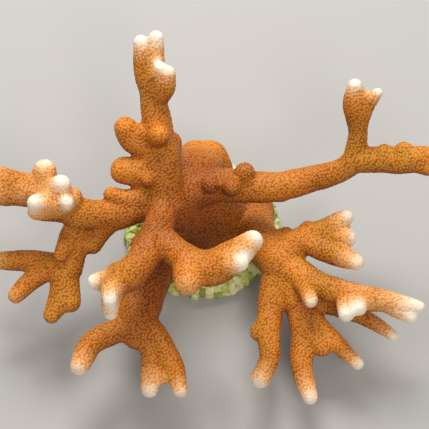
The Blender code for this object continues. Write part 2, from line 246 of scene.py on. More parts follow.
# %% Line through a finger
CALICE_HEIGHT = 0.22 * MM
RING_STEP = 2.0 * MM
DOME_RINGS = 4
DOME_TURN = math.radians(84)


def between(before, start, end, after, share):
    """The point at share of the way from start to end on a smooth curve through all four."""
    bend = 2 * before - 5 * start + 4 * end - after
    turn = 3 * start - before - 3 * end + after
    return 0.5 * (2 * start + share * ((end - before) + share * (bend + share * turn)))


def finger_line(points, step):
    """The middle of a finger as (place, radius), every step along it."""
    knots = [Vector((x * MM, y * MM, z * MM, width * MM / 2 - CALICE_HEIGHT))
             for x, y, z, width in points]
    ends = [2 * knots[0] - knots[1]] + knots + [2 * knots[-1] - knots[-2]]
    line = []
    for before, start, end, after in zip(ends, ends[1:], ends[2:], ends[3:]):
        steps = max(2, round((end - start).to_3d().length / step))
        line += [between(before, start, end, after, i / steps) for i in range(steps)]
    line.append(knots[-1])
    return [(point.to_3d(), point.w) for point in line]


def domed(line):
    """The same line with the rings of half a ball added at each end."""
    turns = [i / DOME_RINGS * DOME_TURN for i in range(DOME_RINGS, 0, -1)]
    (root, root_radius), (tip, tip_radius) = line[0], line[-1]
    back = (root - line[1][0]).normalized()
    ahead = (tip - line[-2][0]).normalized()
    first = [(root + back * root_radius * math.sin(t), root_radius * math.cos(t)) for t in turns]
    last = [(tip + ahead * tip_radius * math.sin(t), tip_radius * math.cos(t)) for t in turns]
    return first + line + last[::-1]


lines = {name: [finger_line(points, RING_STEP) for *_, points in limb]
         for name, limb in GROWTH.items()}
print("rings along the lines:", sum(len(line) for limb in lines.values() for line in limb))

# %% [markdown]
# ## One finger, ring by ring
#
# A finger could be a bevelled curve or a row of balls. Here it starts as a flat round face at
# the root, and the face is extruded along the line: each time it is moved on, turned to the
# line's new direction, and scaled to the thickness there. That is how it would be done by hand.

# %% Finger
RING_SIDES = 20
SMALLEST_TURN = 1e-4


def turn_selected(before, after, centre):
    """Turn what is selected, so that what pointed along before points along after."""
    angles = before.rotation_difference(after).to_euler("XYZ")
    for axis, angle in zip("XYZ", angles):
        if abs(angle) > SMALLEST_TURN:
            bpy.ops.transform.rotate(value=-angle, orient_axis=axis, center_override=centre)


def model_finger(name, line):
    """A closed tube with round ends along a line, extruded ring by ring."""
    rings = domed(line)
    places = [place for place, _ in rings]
    ahead = [(b - a).normalized() for a, b in zip(places, places[1:])]
    facing = [ahead[0]] + [(a + b).normalized() for a, b in zip(ahead, ahead[1:])] + [ahead[-1]]
    bpy.ops.object.select_all(action="DESELECT")
    bpy.ops.mesh.primitive_circle_add(
        vertices=RING_SIDES, radius=rings[0][1], fill_type="NGON", location=places[0],
        rotation=facing[0].to_track_quat("Z", "Y").to_euler(), enter_editmode=True)
    for i in range(1, len(rings)):
        move = places[i] - places[i - 1]
        bpy.ops.mesh.extrude_region_move(TRANSFORM_OT_translate={"value": move})
        turn_selected(facing[i - 1], facing[i], places[i])
        size = rings[i][1] / rings[i - 1][1]
        bpy.ops.transform.resize(value=(size, size, size), center_override=places[i])
    bpy.ops.object.mode_set(mode="OBJECT")
    finger = bpy.context.object
    finger.name = name
    return finger


bodies = [model_finger(name + "_finger", line) for name, limb in lines.items() for line in limb]
print(len(bodies), "fingers,", sum(len(body.data.polygons) for body in bodies), "faces")

# %% [markdown]
# ## The crust and the whole colony
#
# The trunk sits on the stone with a low mound of skin. It is a ball scaled flat. All the fingers
# and the mound are then joined into one object, and a voxel remesh throws away everything inside
# and lays one even skin of quads over the outside. Booleans would join them too, but they leave
# sharp creases and uneven faces, and this skin needs even ones for its calices.

# %% Join and grow together
FOOT_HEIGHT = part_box("trunk")[0].z
CRUST_WIDTH = 39 * MM
CRUST_DEPTH = 36 * MM
CRUST_RISE = 4.5 * MM
CRUST_RADII = (CRUST_WIDTH / 2, CRUST_DEPTH / 2, CRUST_RISE)
CRUST_CENTRE = Vector((3 * MM, 1 * MM, FOOT_HEIGHT))
CRUST_SEGMENTS = 64
SKIN_VOXEL = 0.6 * MM
ROUNDING_STRENGTH = 0.5
ROUNDING_PASSES = 9


def select_only(*items):
    """Select these objects and nothing else, and make the first one active."""
    bpy.ops.object.select_all(action="DESELECT")
    for item in items:
        item.select_set(True)
    bpy.context.view_layer.objects.active = items[0]


def apply_modifiers(item):
    """Make what the modifiers give the object's own mesh."""
    select_only(item)
    for modifier in list(item.modifiers):
        bpy.ops.object.modifier_apply(modifier=modifier.name)


bpy.ops.object.select_all(action="DESELECT")
bpy.ops.mesh.primitive_uv_sphere_add(segments=CRUST_SEGMENTS, ring_count=CRUST_SEGMENTS // 2,
                                     radius=1, location=CRUST_CENTRE, scale=CRUST_RADII)
bodies.append(bpy.context.object)
select_only(*bodies)
bpy.ops.object.join()
colony = bpy.context.object
colony.name = "colony"
bpy.ops.object.transform_apply(location=True, rotation=True, scale=True)

remesh = colony.modifiers.new("one skin", "REMESH")
remesh.mode = "VOXEL"
remesh.voxel_size = SKIN_VOXEL
rounding = colony.modifiers.new("round the forks", "SMOOTH")
rounding.factor = ROUNDING_STRENGTH
rounding.iterations = ROUNDING_PASSES
apply_modifiers(colony)
print("one skin of", len(colony.data.polygons), "quads")

# %% [markdown]
# ## Which limb is which
#
# The colony is one skin now, but the part is split at its main forks, and each limb's piece has
# to stand where the frame has it. Every quad goes to the limb whose surface is nearest: the
# distance to the line of a finger, less the finger's radius there. Each limb is painted as a
# material of its own, because a mesh can later be separated by material in one step.
#
# A row of numbers for all quads at once is much faster here than a loop over quads.

# %% Nearest limb
def triples(items, field):
    """One field of all points or faces of a mesh, as rows of x, y and z."""
    values = np.empty(len(items) * 3, np.float32)
    items.foreach_get(field, values)
    return values.reshape(-1, 3)


def distance_to_limb(places, limb_lines):
    """How far each place is from a limb's surface."""
    nearest = np.full(len(places), np.inf, np.float32)
    for line in limb_lines:
        for place, radius in line:
            away = np.linalg.norm(places - np.array(place, np.float32), axis=1) - radius
            np.minimum(nearest, away, out=nearest)
    return nearest


def distance_to_crust(places):
    """Roughly how far each place is from the surface of the flat mound."""
    offsets = (places - np.array(CRUST_CENTRE)) / np.array(CRUST_RADII)
    return (np.linalg.norm(offsets, axis=1) - 1) * CRUST_RISE


centres = triples(colony.data.polygons, "center")
distances = np.array([distance_to_limb(centres, limb) for limb in lines.values()])
trunk_number = list(GROWTH).index("trunk")
distances[trunk_number] = np.minimum(distances[trunk_number], distance_to_crust(centres))
owners = np.argmin(distances, axis=0)
print("quads of each limb:", np.bincount(owners).tolist())

# %% [markdown]
# Where limbs run close together, a small patch of one can end up inside the other. Such strays
# would become loose pieces, so each is given to the limb that surrounds it.

# %% Paint the limbs
def largest_patches(body, owners):
    """For each face, whether it lies in the largest patch of its own limb."""
    seen = np.zeros(len(body.faces), bool)
    patches = {}
    for start in body.faces:
        if seen[start.index]:
            continue
        seen[start.index] = True
        patch = [start]
        for face in patch:
            for edge in face.edges:
                for other in edge.link_faces:
                    if not seen[other.index] and owners[other.index] == owners[face.index]:
                        seen[other.index] = True
                        patch.append(other)
        best = patches.setdefault(int(owners[start.index]), patch)
        if len(patch) > len(best):
            patches[int(owners[start.index])] = patch
    kept = np.zeros(len(body.faces), bool)
    for patch in patches.values():
        kept[[face.index for face in patch]] = True
    return kept


def give_away_islands(mesh, owners):
    """Give each stray patch of a limb to the limb round it."""
    body = bmesh.new()
    body.from_mesh(mesh)
    kept = largest_patches(body, owners)
    stray = [face for face in body.faces if not kept[face.index]]
    print("faces in stray patches:", len(stray))
    while stray:
        left = []
        for face in stray:
            near = [other.index for edge in face.edges for other in edge.link_faces
                    if kept[other.index]]
            if near:
                owners[face.index] = owners[near[0]]
                kept[face.index] = True
            else:
                left.append(face)
        stray = left
    body.free()


give_away_islands(colony.data, owners)
colony.data.materials.clear()
for name in GROWTH:
    colony.data.materials.append(bpy.data.materials.new(name))
colony.data.polygons.foreach_set("material_index", owners.astype(np.int32))
print(len(colony.data.materials), "limbs painted")

# %% [markdown]
# ## Uneven growth
#
# No finger is a perfect tube. A Geometry Nodes modifier moves the skin in and out along its
# normals by a soft noise, a few tenths of a millimetre over lumps as wide as a finger. Node
# trees are built in code here, so a short helper adds a node and joins its inputs, and a few
# more stand for the sums that come again.

# %% Node helpers
def add_node(tree, kind, inputs=None, **settings):
    """Add a node. An input is given a value, or the output socket that it is joined to."""
    node = tree.nodes.new(kind)
    for setting, value in settings.items():
        setattr(node, setting, value)
    for key, value in (inputs or {}).items():
        if isinstance(value, bpy.types.NodeSocket):
            tree.links.new(value, node.inputs[key])
        else:
            node.inputs[key].default_value = value
    return node


def math_node(tree, operation, first, second=0.0):
    """The output of one sum on two numbers or sockets."""
    return add_node(tree, "ShaderNodeMath", {0: first, 1: second}, operation=operation).outputs[0]


def vector_node(tree, operation, inputs, output="Vector"):
    """The output of one sum on vectors."""
    return add_node(tree, "ShaderNodeVectorMath", inputs, operation=operation).outputs[output]


def geometry_tree(name):
    """A new node tree that takes a mesh and gives one back, as (tree, mesh in, node out)."""
    tree = bpy.data.node_groups.new(name, "GeometryNodeTree")
    tree.interface.new_socket("Mesh", in_out="INPUT", socket_type="NodeSocketGeometry")
    tree.interface.new_socket("Mesh", in_out="OUTPUT", socket_type="NodeSocketGeometry")
    return tree, add_node(tree, "NodeGroupInput").outputs[0], add_node(tree, "NodeGroupOutput")


def pushed_out(tree, mesh, height):
    """The mesh with every point moved out along its normal by a height."""
    normal = add_node(tree, "GeometryNodeInputNormal").outputs[0]
    move = vector_node(tree, "SCALE", {0: normal, "Scale": height})
    return add_node(tree, "GeometryNodeSetPosition",
                    {"Geometry": mesh, "Offset": move}).outputs[0]


def rising(tree, value, low, high):
    """The output of a number that goes from 0 to 1 as a value goes from low to high."""
    return add_node(tree, "ShaderNodeMapRange",
                    {"Value": value, "From Min": low, "From Max": high}).outputs[0]


def run_tree(item, tree):
    """Run a node tree on an object and keep the result."""
    modifier = item.modifiers.new(tree.name, "NODES")
    modifier.node_group = tree
    apply_modifiers(item)
    bpy.data.node_groups.remove(tree)


# %% Lumps
LUMP_SIZE = 7 * MM
LUMP_HEIGHT = 0.45 * MM
NOISE_MIDDLE = 0.5


def lump_tree():
    """Soft lumps over the skin."""
    tree, mesh, result = geometry_tree("uneven growth")
    waves = add_node(tree, "ShaderNodeTexNoise", {"Scale": 1 / LUMP_SIZE, "Detail": 1.0})
    up_and_down = math_node(tree, "SUBTRACT", waves.outputs[0], NOISE_MIDDLE)
    height = math_node(tree, "MULTIPLY", up_and_down, 2 * LUMP_HEIGHT)
    tree.links.new(pushed_out(tree, mesh, height), result.inputs[0])
    return tree


run_tree(colony, lump_tree())
finer = colony.modifiers.new("finer", "SUBSURF")
finer.levels = 1
finer.render_levels = 1
apply_modifiers(colony)
print("finer skin of", len(colony.data.polygons), "quads")

# %% [markdown]
# ## Pale tips
#
# The pale zone of a tip is stored on the skin as a number from 0 to 1, so that both the shape
# and the colour can follow it. It is highest over the end of the tip, its core, and falls to 0
# where the growth plan says. A second number, the youth, falls to 0 much further back, because
# old skin holds more algae and is browner. A third says how far the skin faces down, and the
# material paints a deep red brown shade there by it. Reaches are in millimetres, as in the
# growth plan.

# %% Paleness
CORE_REACH = 2.0
CORE_SHARE = 0.25
YOUTH_REACH = 26.0
# Where the painted shade of the undersides starts and where it is full, by how far the skin faces
# up.
PAINTED_SHADE_STARTS = 0.3
PAINTED_SHADE_FULL = -0.4


def tip_end(points):
    """The outermost place of a finger, past the middle of its round tip."""
    *_, (before, _), (last, radius) = finger_line(points, RING_STEP)
    return last + (last - before).normalized() * radius


def paleness(places):
    """How pale and how young the skin is at each place, from the growth plan."""
    pale = np.zeros(len(places), np.float32)
    nearest = np.full(len(places), YOUTH_REACH, np.float32)
    for reach, strength, points in fingers:
        if reach:
            core = min(CORE_REACH, CORE_SHARE * reach)
            away = np.linalg.norm(places - np.array(tip_end(points)), axis=1) / MM
            pale = np.maximum(pale, strength * np.clip((reach - away) / (reach - core), 0, 1))
            nearest = np.minimum(nearest, away)
    return pale, 1 - nearest / YOUTH_REACH


def underside(mesh):
    """How far the skin faces down at each point, from 0 on top to 1 below; the material paints
    shade by it.
    """
    upward = triples(mesh.vertex_normals, "vector")[:, 2]
    return np.clip((PAINTED_SHADE_STARTS - upward) / (PAINTED_SHADE_STARTS - PAINTED_SHADE_FULL), 0, 1)


def store(mesh, name, values):
    """Keep one number for each point of a mesh, under a name that nodes can read."""
    layer = mesh.attributes.new(name, "FLOAT", "POINT")
    layer.data.foreach_set("value", np.ascontiguousarray(values, np.float32))


pale, youth = paleness(triples(colony.data.vertices, "co"))
store(colony.data, "pale", pale)
store(colony.data, "youth", youth)
store(colony.data, "underside", underside(colony.data))
print("points in pale zones:", int((pale > 0).sum()), "of", len(pale))

# %% [markdown]
# ## Calices
#
# Each calice is a round cup about a millimetre wide where one polyp lives, and it stands a
# little proud of the skin between. There are tens of thousands, so they aren't modelled one by
# one. Points are scattered over the skin so that none is too near another, which is how real
# calices keep their distance, and the skin is raised round each point. A cellular texture would
# be easier, but it cuts a solid pattern, and its cells come out in all sizes. The rise of each
# calice, from 0 in the grooves to 1 on its top, is also stored for the colour to follow.

# %% Raise the calices
CALICE_SPACING = 0.76 * MM
CALICE_RADIUS = 0.54 * MM
CALICE_SEED = 5
CALICE_SHARE_AT_TIPS = 0.4
POINTS_TRIED = 6e6


def calice_tree():
    """Round bumps at an even spacing, lower in the pale zones."""
    tree, mesh, result = geometry_tree("calices")
    spots = add_node(tree, "GeometryNodeDistributePointsOnFaces",
                     {"Mesh": mesh, "Distance Min": CALICE_SPACING, "Density Max": POINTS_TRIED,
                      "Seed": CALICE_SEED}, distribute_method="POISSON")
    nearest = add_node(tree, "GeometryNodeProximity", {0: spots.outputs["Points"]},
                       target_element="POINTS")
    share = math_node(tree, "DIVIDE", nearest.outputs["Distance"], CALICE_RADIUS)
    dome = math_node(tree, "SUBTRACT", 1.0, math_node(tree, "POWER", share, 2.0))
    calice = math_node(tree, "MAXIMUM", dome, 0.0)
    pale = add_node(tree, "GeometryNodeInputNamedAttribute", {"Name": "pale"}, data_type="FLOAT")
    fade = add_node(tree, "ShaderNodeMapRange", {"Value": pale.outputs[0], "To Min": 1.0,
                                                 "To Max": CALICE_SHARE_AT_TIPS})
    height = math_node(tree, "MULTIPLY", math_node(tree, "MULTIPLY", calice, fade.outputs[0]),
                       CALICE_HEIGHT)
    stored = add_node(tree, "GeometryNodeStoreNamedAttribute",
                      {"Geometry": mesh, "Name": "calice", "Value": calice}, data_type="FLOAT")
    tree.links.new(pushed_out(tree, stored.outputs[0], height), result.inputs[0])
    return tree


run_tree(colony, calice_tree())
colony.data.shade_smooth()
print("calices raised on", len(colony.data.vertices), "points")

# %% [markdown]
# ## Split into the real pieces
#
# Separating by material gives one object for each limb, open where its neighbours grew on. Each
# opening is closed inside the coral: its edge is extruded and sunk below the skin, so that
# nothing pokes through, then extruded again and collapsed to one point. The limbs that stand on
# the stone are cut off flat, just above it.
#
# A limb's smooth shading is worked out from its own faces only, so a seam would show where two
# limbs meet. The direction of the whole skin is stored on its points before the split, and it is
# given back to each limb as custom normals.

# %% Separate and close
SEAM_DEPTH = 1.2 * MM
STANDING_WITHIN = 1 * MM


def store_directions(mesh):
    """Keep the direction that the skin faces at each point."""
    layer = mesh.attributes.new("whole_normal", "FLOAT_VECTOR", "POINT")
    layer.data.foreach_set("vector", triples(mesh.vertex_normals, "vector").ravel())


def sink_selected(mesh):
    """Sink the selected points of the mesh in edit mode straight below the skin."""
    body = bmesh.from_edit_mesh(mesh)
    facing = body.verts.layers.float_vector["whole_normal"]
    for point in body.verts:
        if point.select:
            point.co -= point[facing] * SEAM_DEPTH
    bmesh.update_edit_mesh(mesh)


def close_openings(limb):
    """Close each opening with a sunk rim and a cone of faces to one point inside."""
    bpy.ops.mesh.select_mode(type="VERT")
    bpy.ops.mesh.select_all(action="DESELECT")
    bpy.ops.mesh.select_non_manifold(use_wire=False, use_multi_face=False,
                                     use_non_contiguous=False, use_verts=False)
    bpy.ops.mesh.extrude_edges_move()
    sink_selected(limb.data)
    bpy.ops.mesh.extrude_edges_move()
    bpy.ops.mesh.merge(type="COLLAPSE")


def cut_foot():
    """Cut the limb in edit mode off flat, just above the stone."""
    bpy.ops.mesh.select_all(action="SELECT")
    bpy.ops.mesh.bisect(plane_co=(0, 0, FOOT_HEIGHT), plane_no=(0, 0, 1), use_fill=True,
                        clear_inner=True)


def give_back_directions(mesh):
    """Shade the piece as the whole skin is shaded."""
    directions = triples(mesh.attributes["whole_normal"].data, "vector")
    mesh.normals_split_custom_set_from_vertices(directions)
    mesh.attributes.remove(mesh.attributes["whole_normal"])


store_directions(colony.data)
select_only(colony)
bpy.ops.mesh.separate(type="MATERIAL")
limbs = {}
for limb in list(bpy.context.selected_objects):
    name = limb.data.materials[0].name
    limbs[name] = limb
    limb.name = name + "_skin"
    select_only(limb)
    bpy.ops.object.mode_set(mode="EDIT")
    close_openings(limb)
    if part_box(name)[0].z < FOOT_HEIGHT + STANDING_WITHIN:
        cut_foot()
    bpy.ops.object.mode_set(mode="OBJECT")
    give_back_directions(limb.data)
print(len(limbs), "limbs,", sum(len(limb.data.loops) for limb in limbs.values()), "corners")

# %% [markdown]
# ## Skin
#
# Living coral skin is thin, wet and coloured by the algae in it: brown-orange. The material
# paints a highlight on top of each calice, and shade, dark and red, in the grooves, where light
# bounces from orange to orange. Old skin is browner, and the undersides get a painted deep red
# brown shade. At the tips there are no algae yet and the white skeleton shows through. So the
# material mixes its colours by the stored numbers, and adds a slow drift of hue and a fine
# grain. An image could not follow every calice.

# %% Colour helpers
def colour_ramp(tree, factor, stops):
    """A ramp of colours at chosen places from 0 to 1."""
    ramp = add_node(tree, "ShaderNodeValToRGB", {0: factor})
    elements = ramp.color_ramp.elements
    while len(elements) < len(stops):
        elements.new(1.0)
    for element, (place, colour) in zip(elements, stops):
        element.position = place
        element.color = (*colour, 1)
    return ramp.outputs[0]


def mixed(tree, factor, first, second):
    """The output of a mix of two colours."""
    mix = add_node(tree, "ShaderNodeMix", {0: factor}, data_type="RGBA")
    for socket, colour in ((mix.inputs[6], first), (mix.inputs[7], second)):
        if isinstance(colour, bpy.types.NodeSocket):
            tree.links.new(colour, socket)
        else:
            socket.default_value = (*colour, 1)
    return mix.outputs[2]


def stored_number(tree, name):
    """The output of a number that was stored on the points of the mesh."""
    return add_node(tree, "ShaderNodeAttribute", attribute_name=name).outputs["Fac"]


def noise(tree, place, scale, detail):
    """The output of a noise that has this many spots in a metre."""
    return add_node(tree, "ShaderNodeTexNoise",
                    {"Vector": place, "Scale": scale, "Detail": detail}).outputs[0]


def new_finish(name, roughness):
    """A new plain material, as (material, its node tree, its shader)."""
    material = bpy.data.materials.new(name)
    material.use_nodes = True
    shader = material.node_tree.nodes["Principled BSDF"]
    shader.inputs["Roughness"].default_value = roughness
    return material, material.node_tree, shader


def roughen(tree, shader, height, strength, depth):
    """Let a pattern of heights catch the light on a shader."""
    bump = add_node(tree, "ShaderNodeBump",
                    {"Height": height, "Strength": strength, "Distance": depth})
    tree.links.new(bump.outputs[0], shader.inputs["Normal"])


# %% Tissue material
# Each row of colours runs from the grooves between the calices up to their tops: the darker
# grooves are painted shade and the paler tops a painted highlight.
OLD = [(0.0, (0.24, 0.048, 0.005)), (0.5, (0.35, 0.084, 0.008)), (1.0, (0.46, 0.132, 0.013))]
YOUNG = [(0.0, (0.53, 0.145, 0.012)), (0.5, (0.72, 0.240, 0.020)), (1.0, (0.86, 0.350, 0.036))]
GOLDEN = [(0.0, (0.38, 0.130, 0.008)), (0.5, (0.56, 0.230, 0.014)), (1.0, (0.72, 0.345, 0.024))]
# Painted shade for the undersides: deep red brown, darkest in the grooves.
UNDERSIDE_PAINTED_SHADE = [(0.0, (0.11, 0.011, 0.003)), (0.5, (0.18, 0.023, 0.004)), (1.0, (0.28, 0.048, 0.008))]
ROSY = [(0.0, (0.84, 0.36, 0.12)), (0.5, (0.92, 0.50, 0.21)), (1.0, (0.95, 0.63, 0.33))]
BARE_SKELETON = (0.96, 0.88, 0.78)
# Each pair says where a colour starts to come in, and where it is all there.
GOLDEN_RANGE = (0.42, 0.70)
YOUNG_RANGE = (0.0, 0.9)
ROSY_RANGE = (0.10, 0.80)
BARE_RANGE = (0.66, 1.05)
# How much paler the top of a calice is than its groove, a painted highlight, and a bright grain
# than a dark one.
CALICE_PAINTED_HIGHLIGHT = 0.12
GRAIN_PALENESS = 0.12
DRIFT_SCALE = 45
FINE_GRAIN_SCALE = 1600
FINE_GRAIN_DEPTH = 0.1 * MM


def skin_colour(tree, calice, drift):
    """Skin away from the tips: golden to brown above, and a painted deep red brown shade below."""
    youth = rising(tree, stored_number(tree, "youth"), *YOUNG_RANGE)
    goldenness = rising(tree, drift, *GOLDEN_RANGE)
    young = mixed(tree, goldenness, colour_ramp(tree, calice, YOUNG),
                  colour_ramp(tree, calice, GOLDEN))
    above = mixed(tree, youth, colour_ramp(tree, calice, OLD), young)
    # Painted shade: the more the skin faces down, the more it is mixed to deep red brown.
    deep = colour_ramp(tree, calice, UNDERSIDE_PAINTED_SHADE)
    return mixed(tree, stored_number(tree, "underside"), above, deep)


def make_tissue():
    """Orange-brown skin with painted highlights on the calices, painted shade in the grooves and
    below, and pale tips.
    """
    material, tree, shader = new_finish("tissue_skin", roughness=0.5)
    shader.inputs["Specular IOR Level"].default_value = 0.25
    place = add_node(tree, "ShaderNodeTexCoord").outputs["Object"]
    calice = stored_number(tree, "calice")
    grain = noise(tree, place, FINE_GRAIN_SCALE, detail=2)
    skin = skin_colour(tree, calice, noise(tree, place, DRIFT_SCALE, detail=2))
    # Painted highlight: the tops of the calices are made paler.
    calice_highlight = math_node(tree, "MULTIPLY", calice, CALICE_PAINTED_HIGHLIGHT)
    from_grain = math_node(tree, "MULTIPLY", grain, GRAIN_PALENESS)
    pale = math_node(tree, "ADD", stored_number(tree, "pale"), calice_highlight)
    pale = math_node(tree, "ADD", pale, from_grain)
    flushed = mixed(tree, rising(tree, pale, *ROSY_RANGE), skin,
                    colour_ramp(tree, calice, ROSY))
    tipped = mixed(tree, rising(tree, pale, *BARE_RANGE), flushed, BARE_SKELETON)
    tree.links.new(tipped, shader.inputs["Base Color"])
    roughen(tree, shader, grain, strength=0.25, depth=FINE_GRAIN_DEPTH)
    return material


tissue = make_tissue()
for name, limb in limbs.items():
    limb.data.materials.clear()
    limb.data.materials.append(tissue)
    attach(limb, "root")
    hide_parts(name)
for name in GROWTH:
    bpy.data.materials.remove(bpy.data.materials[name])
print("tissue on", len(limbs), "limbs")

# %% [markdown]
# ## The stone
#
# The stone is a round slab of gravel that has been cemented together. Its heart is a cylinder
# with a rounded top edge, a little smaller than the frame's stone. Crushed grains are scattered
# over it: a few are modelled, each an icosphere with its points moved at random and its sides
# sliced off flat, and copies are set on the heart turned and scaled at random.

# %% Heart of the stone
STONE_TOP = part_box("base_stone")[1].z
STONE_RADIUS = 26.3 * MM
GRAIN_RADIUS = 2.1 * MM
SHELL_DEPTH = 1.2 * MM
HEART_SIDES = 64
HEART_EDGE = 2.5 * MM
HEART_EDGE_STEPS = 4


def make_heart():
    """The round slab that the grains are set on."""
    height = STONE_TOP - SHELL_DEPTH
    bpy.ops.object.select_all(action="DESELECT")
    bpy.ops.mesh.primitive_cylinder_add(vertices=HEART_SIDES, radius=STONE_RADIUS - SHELL_DEPTH,
                                        depth=height, location=(0, 0, height / 2),
                                        enter_editmode=True)
    bpy.ops.mesh.select_mode(type="EDGE")
    bpy.ops.mesh.select_all(action="DESELECT")
    bpy.ops.object.mode_set(mode="OBJECT")
    heart = bpy.context.object
    for edge in heart.data.edges:
        ends = [heart.matrix_world @ heart.data.vertices[i].co for i in edge.vertices]
        edge.select = min(end.z for end in ends) > height / 2
    bpy.ops.object.mode_set(mode="EDIT")
    bpy.ops.mesh.bevel(offset=HEART_EDGE, segments=HEART_EDGE_STEPS)
    bpy.ops.object.mode_set(mode="OBJECT")
    bpy.ops.object.transform_apply(location=True, rotation=True, scale=True)
    heart.name = "stone_heart"
    return heart


heart = make_heart()
print("heart of", len(heart.data.polygons), "faces")

# %% Crushed grains
GRAIN_KINDS = 5
GRAIN_SLICES = 7
UNCUT_RADIUS = 1.1
UNCUT_WOBBLE = 0.12
SLICES_FROM = 0.62
SLICES_TO = 0.9


def make_grain(seed):
    """One crushed grain with flat broken sides, about 2 wide until it is scaled down."""
    chance = np.random.default_rng(seed)
    bpy.ops.object.select_all(action="DESELECT")
    bpy.ops.mesh.primitive_ico_sphere_add(subdivisions=2, radius=UNCUT_RADIUS,
                                          enter_editmode=True)
    bpy.ops.transform.vertex_random(offset=UNCUT_WOBBLE, seed=seed)
    for _ in range(GRAIN_SLICES):
        side = Vector(chance.normal(size=3)).normalized()
        bpy.ops.mesh.select_all(action="SELECT")
        bpy.ops.mesh.bisect(plane_co=side * chance.uniform(SLICES_FROM, SLICES_TO),
                            plane_no=side, use_fill=True, clear_outer=True)
    bpy.ops.object.mode_set(mode="OBJECT")
    return bpy.context.object


grains = [make_grain(seed) for seed in range(GRAIN_KINDS)]
grain_group = bpy.data.collections.new("grains")
for grain in grains:
    grain_group.objects.link(grain)
print("faces of the grains:", [len(grain.data.polygons) for grain in grains])

# %% [markdown]
# ## Setting the grains
#
# The grains are scattered with Geometry Nodes: points at an even spacing on the top and the edge
# of the heart, a random grain on each, turned and scaled at random, all made into one real mesh
# at the end. Those that would sit inside the coral's foot are left out. Each grain keeps one
# random number of its own, and the material makes its colour from it. What hangs below the
# heart's underside is pressed flat, because the stone lies on it.

# %% Places for the grains
GRAIN_SPACING = 2.5 * MM
GRAIN_SEED = 11
FOOT_SHARE = 0.86
LOWEST_FACING = -0.5


def grain_places(tree, mesh):
    """Points at an even spacing on the heart, but not on its underside."""
    normal = add_node(tree, "GeometryNodeInputNormal").outputs[0]
    upright = add_node(tree, "ShaderNodeSeparateXYZ", {0: normal}).outputs["Z"]
    not_under = math_node(tree, "GREATER_THAN", upright, LOWEST_FACING)
    spots = add_node(tree, "GeometryNodeDistributePointsOnFaces",
                     {"Mesh": mesh, "Selection": not_under, "Distance Min": GRAIN_SPACING,
                      "Density Max": POINTS_TRIED, "Seed": GRAIN_SEED},
                     distribute_method="POISSON")
    return spots.outputs["Points"]


def outside_foot(tree):
    """Whether a point lies outside the coral's foot."""
    place = add_node(tree, "GeometryNodeInputPosition").outputs[0]
    from_foot = vector_node(tree, "SUBTRACT", {0: place, 1: CRUST_CENTRE})
    shares = vector_node(tree, "DIVIDE", {0: from_foot, 1: CRUST_RADII})
    away = vector_node(tree, "LENGTH", {0: shares}, output="Value")
    return math_node(tree, "GREATER_THAN", away, FOOT_SHARE)


print("grains at least", round(GRAIN_SPACING / MM, 1), "mm apart")

# %% Scatter the grains
SMALLEST_GRAIN = 0.7 * GRAIN_RADIUS
LARGEST_GRAIN = 1.15 * GRAIN_RADIUS
TURN_SEED = 1
SIZE_SEED = 2
SHADE_SEED = 3


def random_triple(tree, low, high, seed):
    """The output of three random numbers between two limits, different on each point."""
    return add_node(tree, "FunctionNodeRandomValue",
                    {0: (low,) * 3, 1: (high,) * 3, "Seed": seed},
                    data_type="FLOAT_VECTOR").outputs[0]


def grain_tree():
    """Crushed grains on the heart, joined with it."""
    tree, mesh, result = geometry_tree("grains")
    kinds = add_node(tree, "GeometryNodeCollectionInfo",
                     {"Collection": grain_group, "Separate Children": True,
                      "Reset Children": True})
    copies = add_node(tree, "GeometryNodeInstanceOnPoints",
                      {"Points": grain_places(tree, mesh), "Selection": outside_foot(tree),
                       "Instance": kinds.outputs[0], "Pick Instance": True,
                       "Rotation": random_triple(tree, 0, math.tau, TURN_SEED),
                       "Scale": random_triple(tree, SMALLEST_GRAIN, LARGEST_GRAIN, SIZE_SEED)})
    shade = add_node(tree, "FunctionNodeRandomValue", {2: 0.0, 3: 1.0, "Seed": SHADE_SEED},
                     data_type="FLOAT").outputs[1]
    shaded = add_node(tree, "GeometryNodeStoreNamedAttribute",
                      {"Geometry": copies.outputs[0], "Name": "shade", "Value": shade},
                      data_type="FLOAT", domain="INSTANCE")
    real = add_node(tree, "GeometryNodeRealizeInstances", {0: shaded.outputs[0]})
    joined = add_node(tree, "GeometryNodeJoinGeometry")
    tree.links.new(mesh, joined.inputs[0])
    tree.links.new(real.outputs[0], joined.inputs[0])
    tree.links.new(joined.outputs[0], result.inputs[0])
    return tree


def press_flat(stone):
    """Press what hangs below the underside flat."""
    select_only(stone)
    bpy.ops.object.mode_set(mode="EDIT")
    bpy.ops.mesh.select_mode(type="VERT")
    bpy.ops.mesh.select_all(action="DESELECT")
    bpy.ops.object.mode_set(mode="OBJECT")
    for vertex in stone.data.vertices:
        vertex.select = vertex.co.z < 0
    bpy.ops.object.mode_set(mode="EDIT")
    bpy.ops.transform.resize(value=(1, 1, 0), center_override=(0, 0, 0))
    bpy.ops.object.mode_set(mode="OBJECT")


run_tree(heart, grain_tree())
stone = heart
stone.name = "base_stone_gravel"
press_flat(stone)
bpy.data.collections.remove(grain_group)
for grain in grains:
    bpy.data.objects.remove(grain)
print("stone of", len(stone.data.polygons), "faces")

# %% [markdown]
# ## Stone material
#
# Each grain has a rock colour of its own, from green to cream, under a film of green algae that
# is thick in some places and worn off in others. The grain's own number picks its colour, and a
# noise over the whole stone lays the film on. One patch at the back is bare and white. A single
# colour with a noise would be quicker, but then the grains would run into each other.

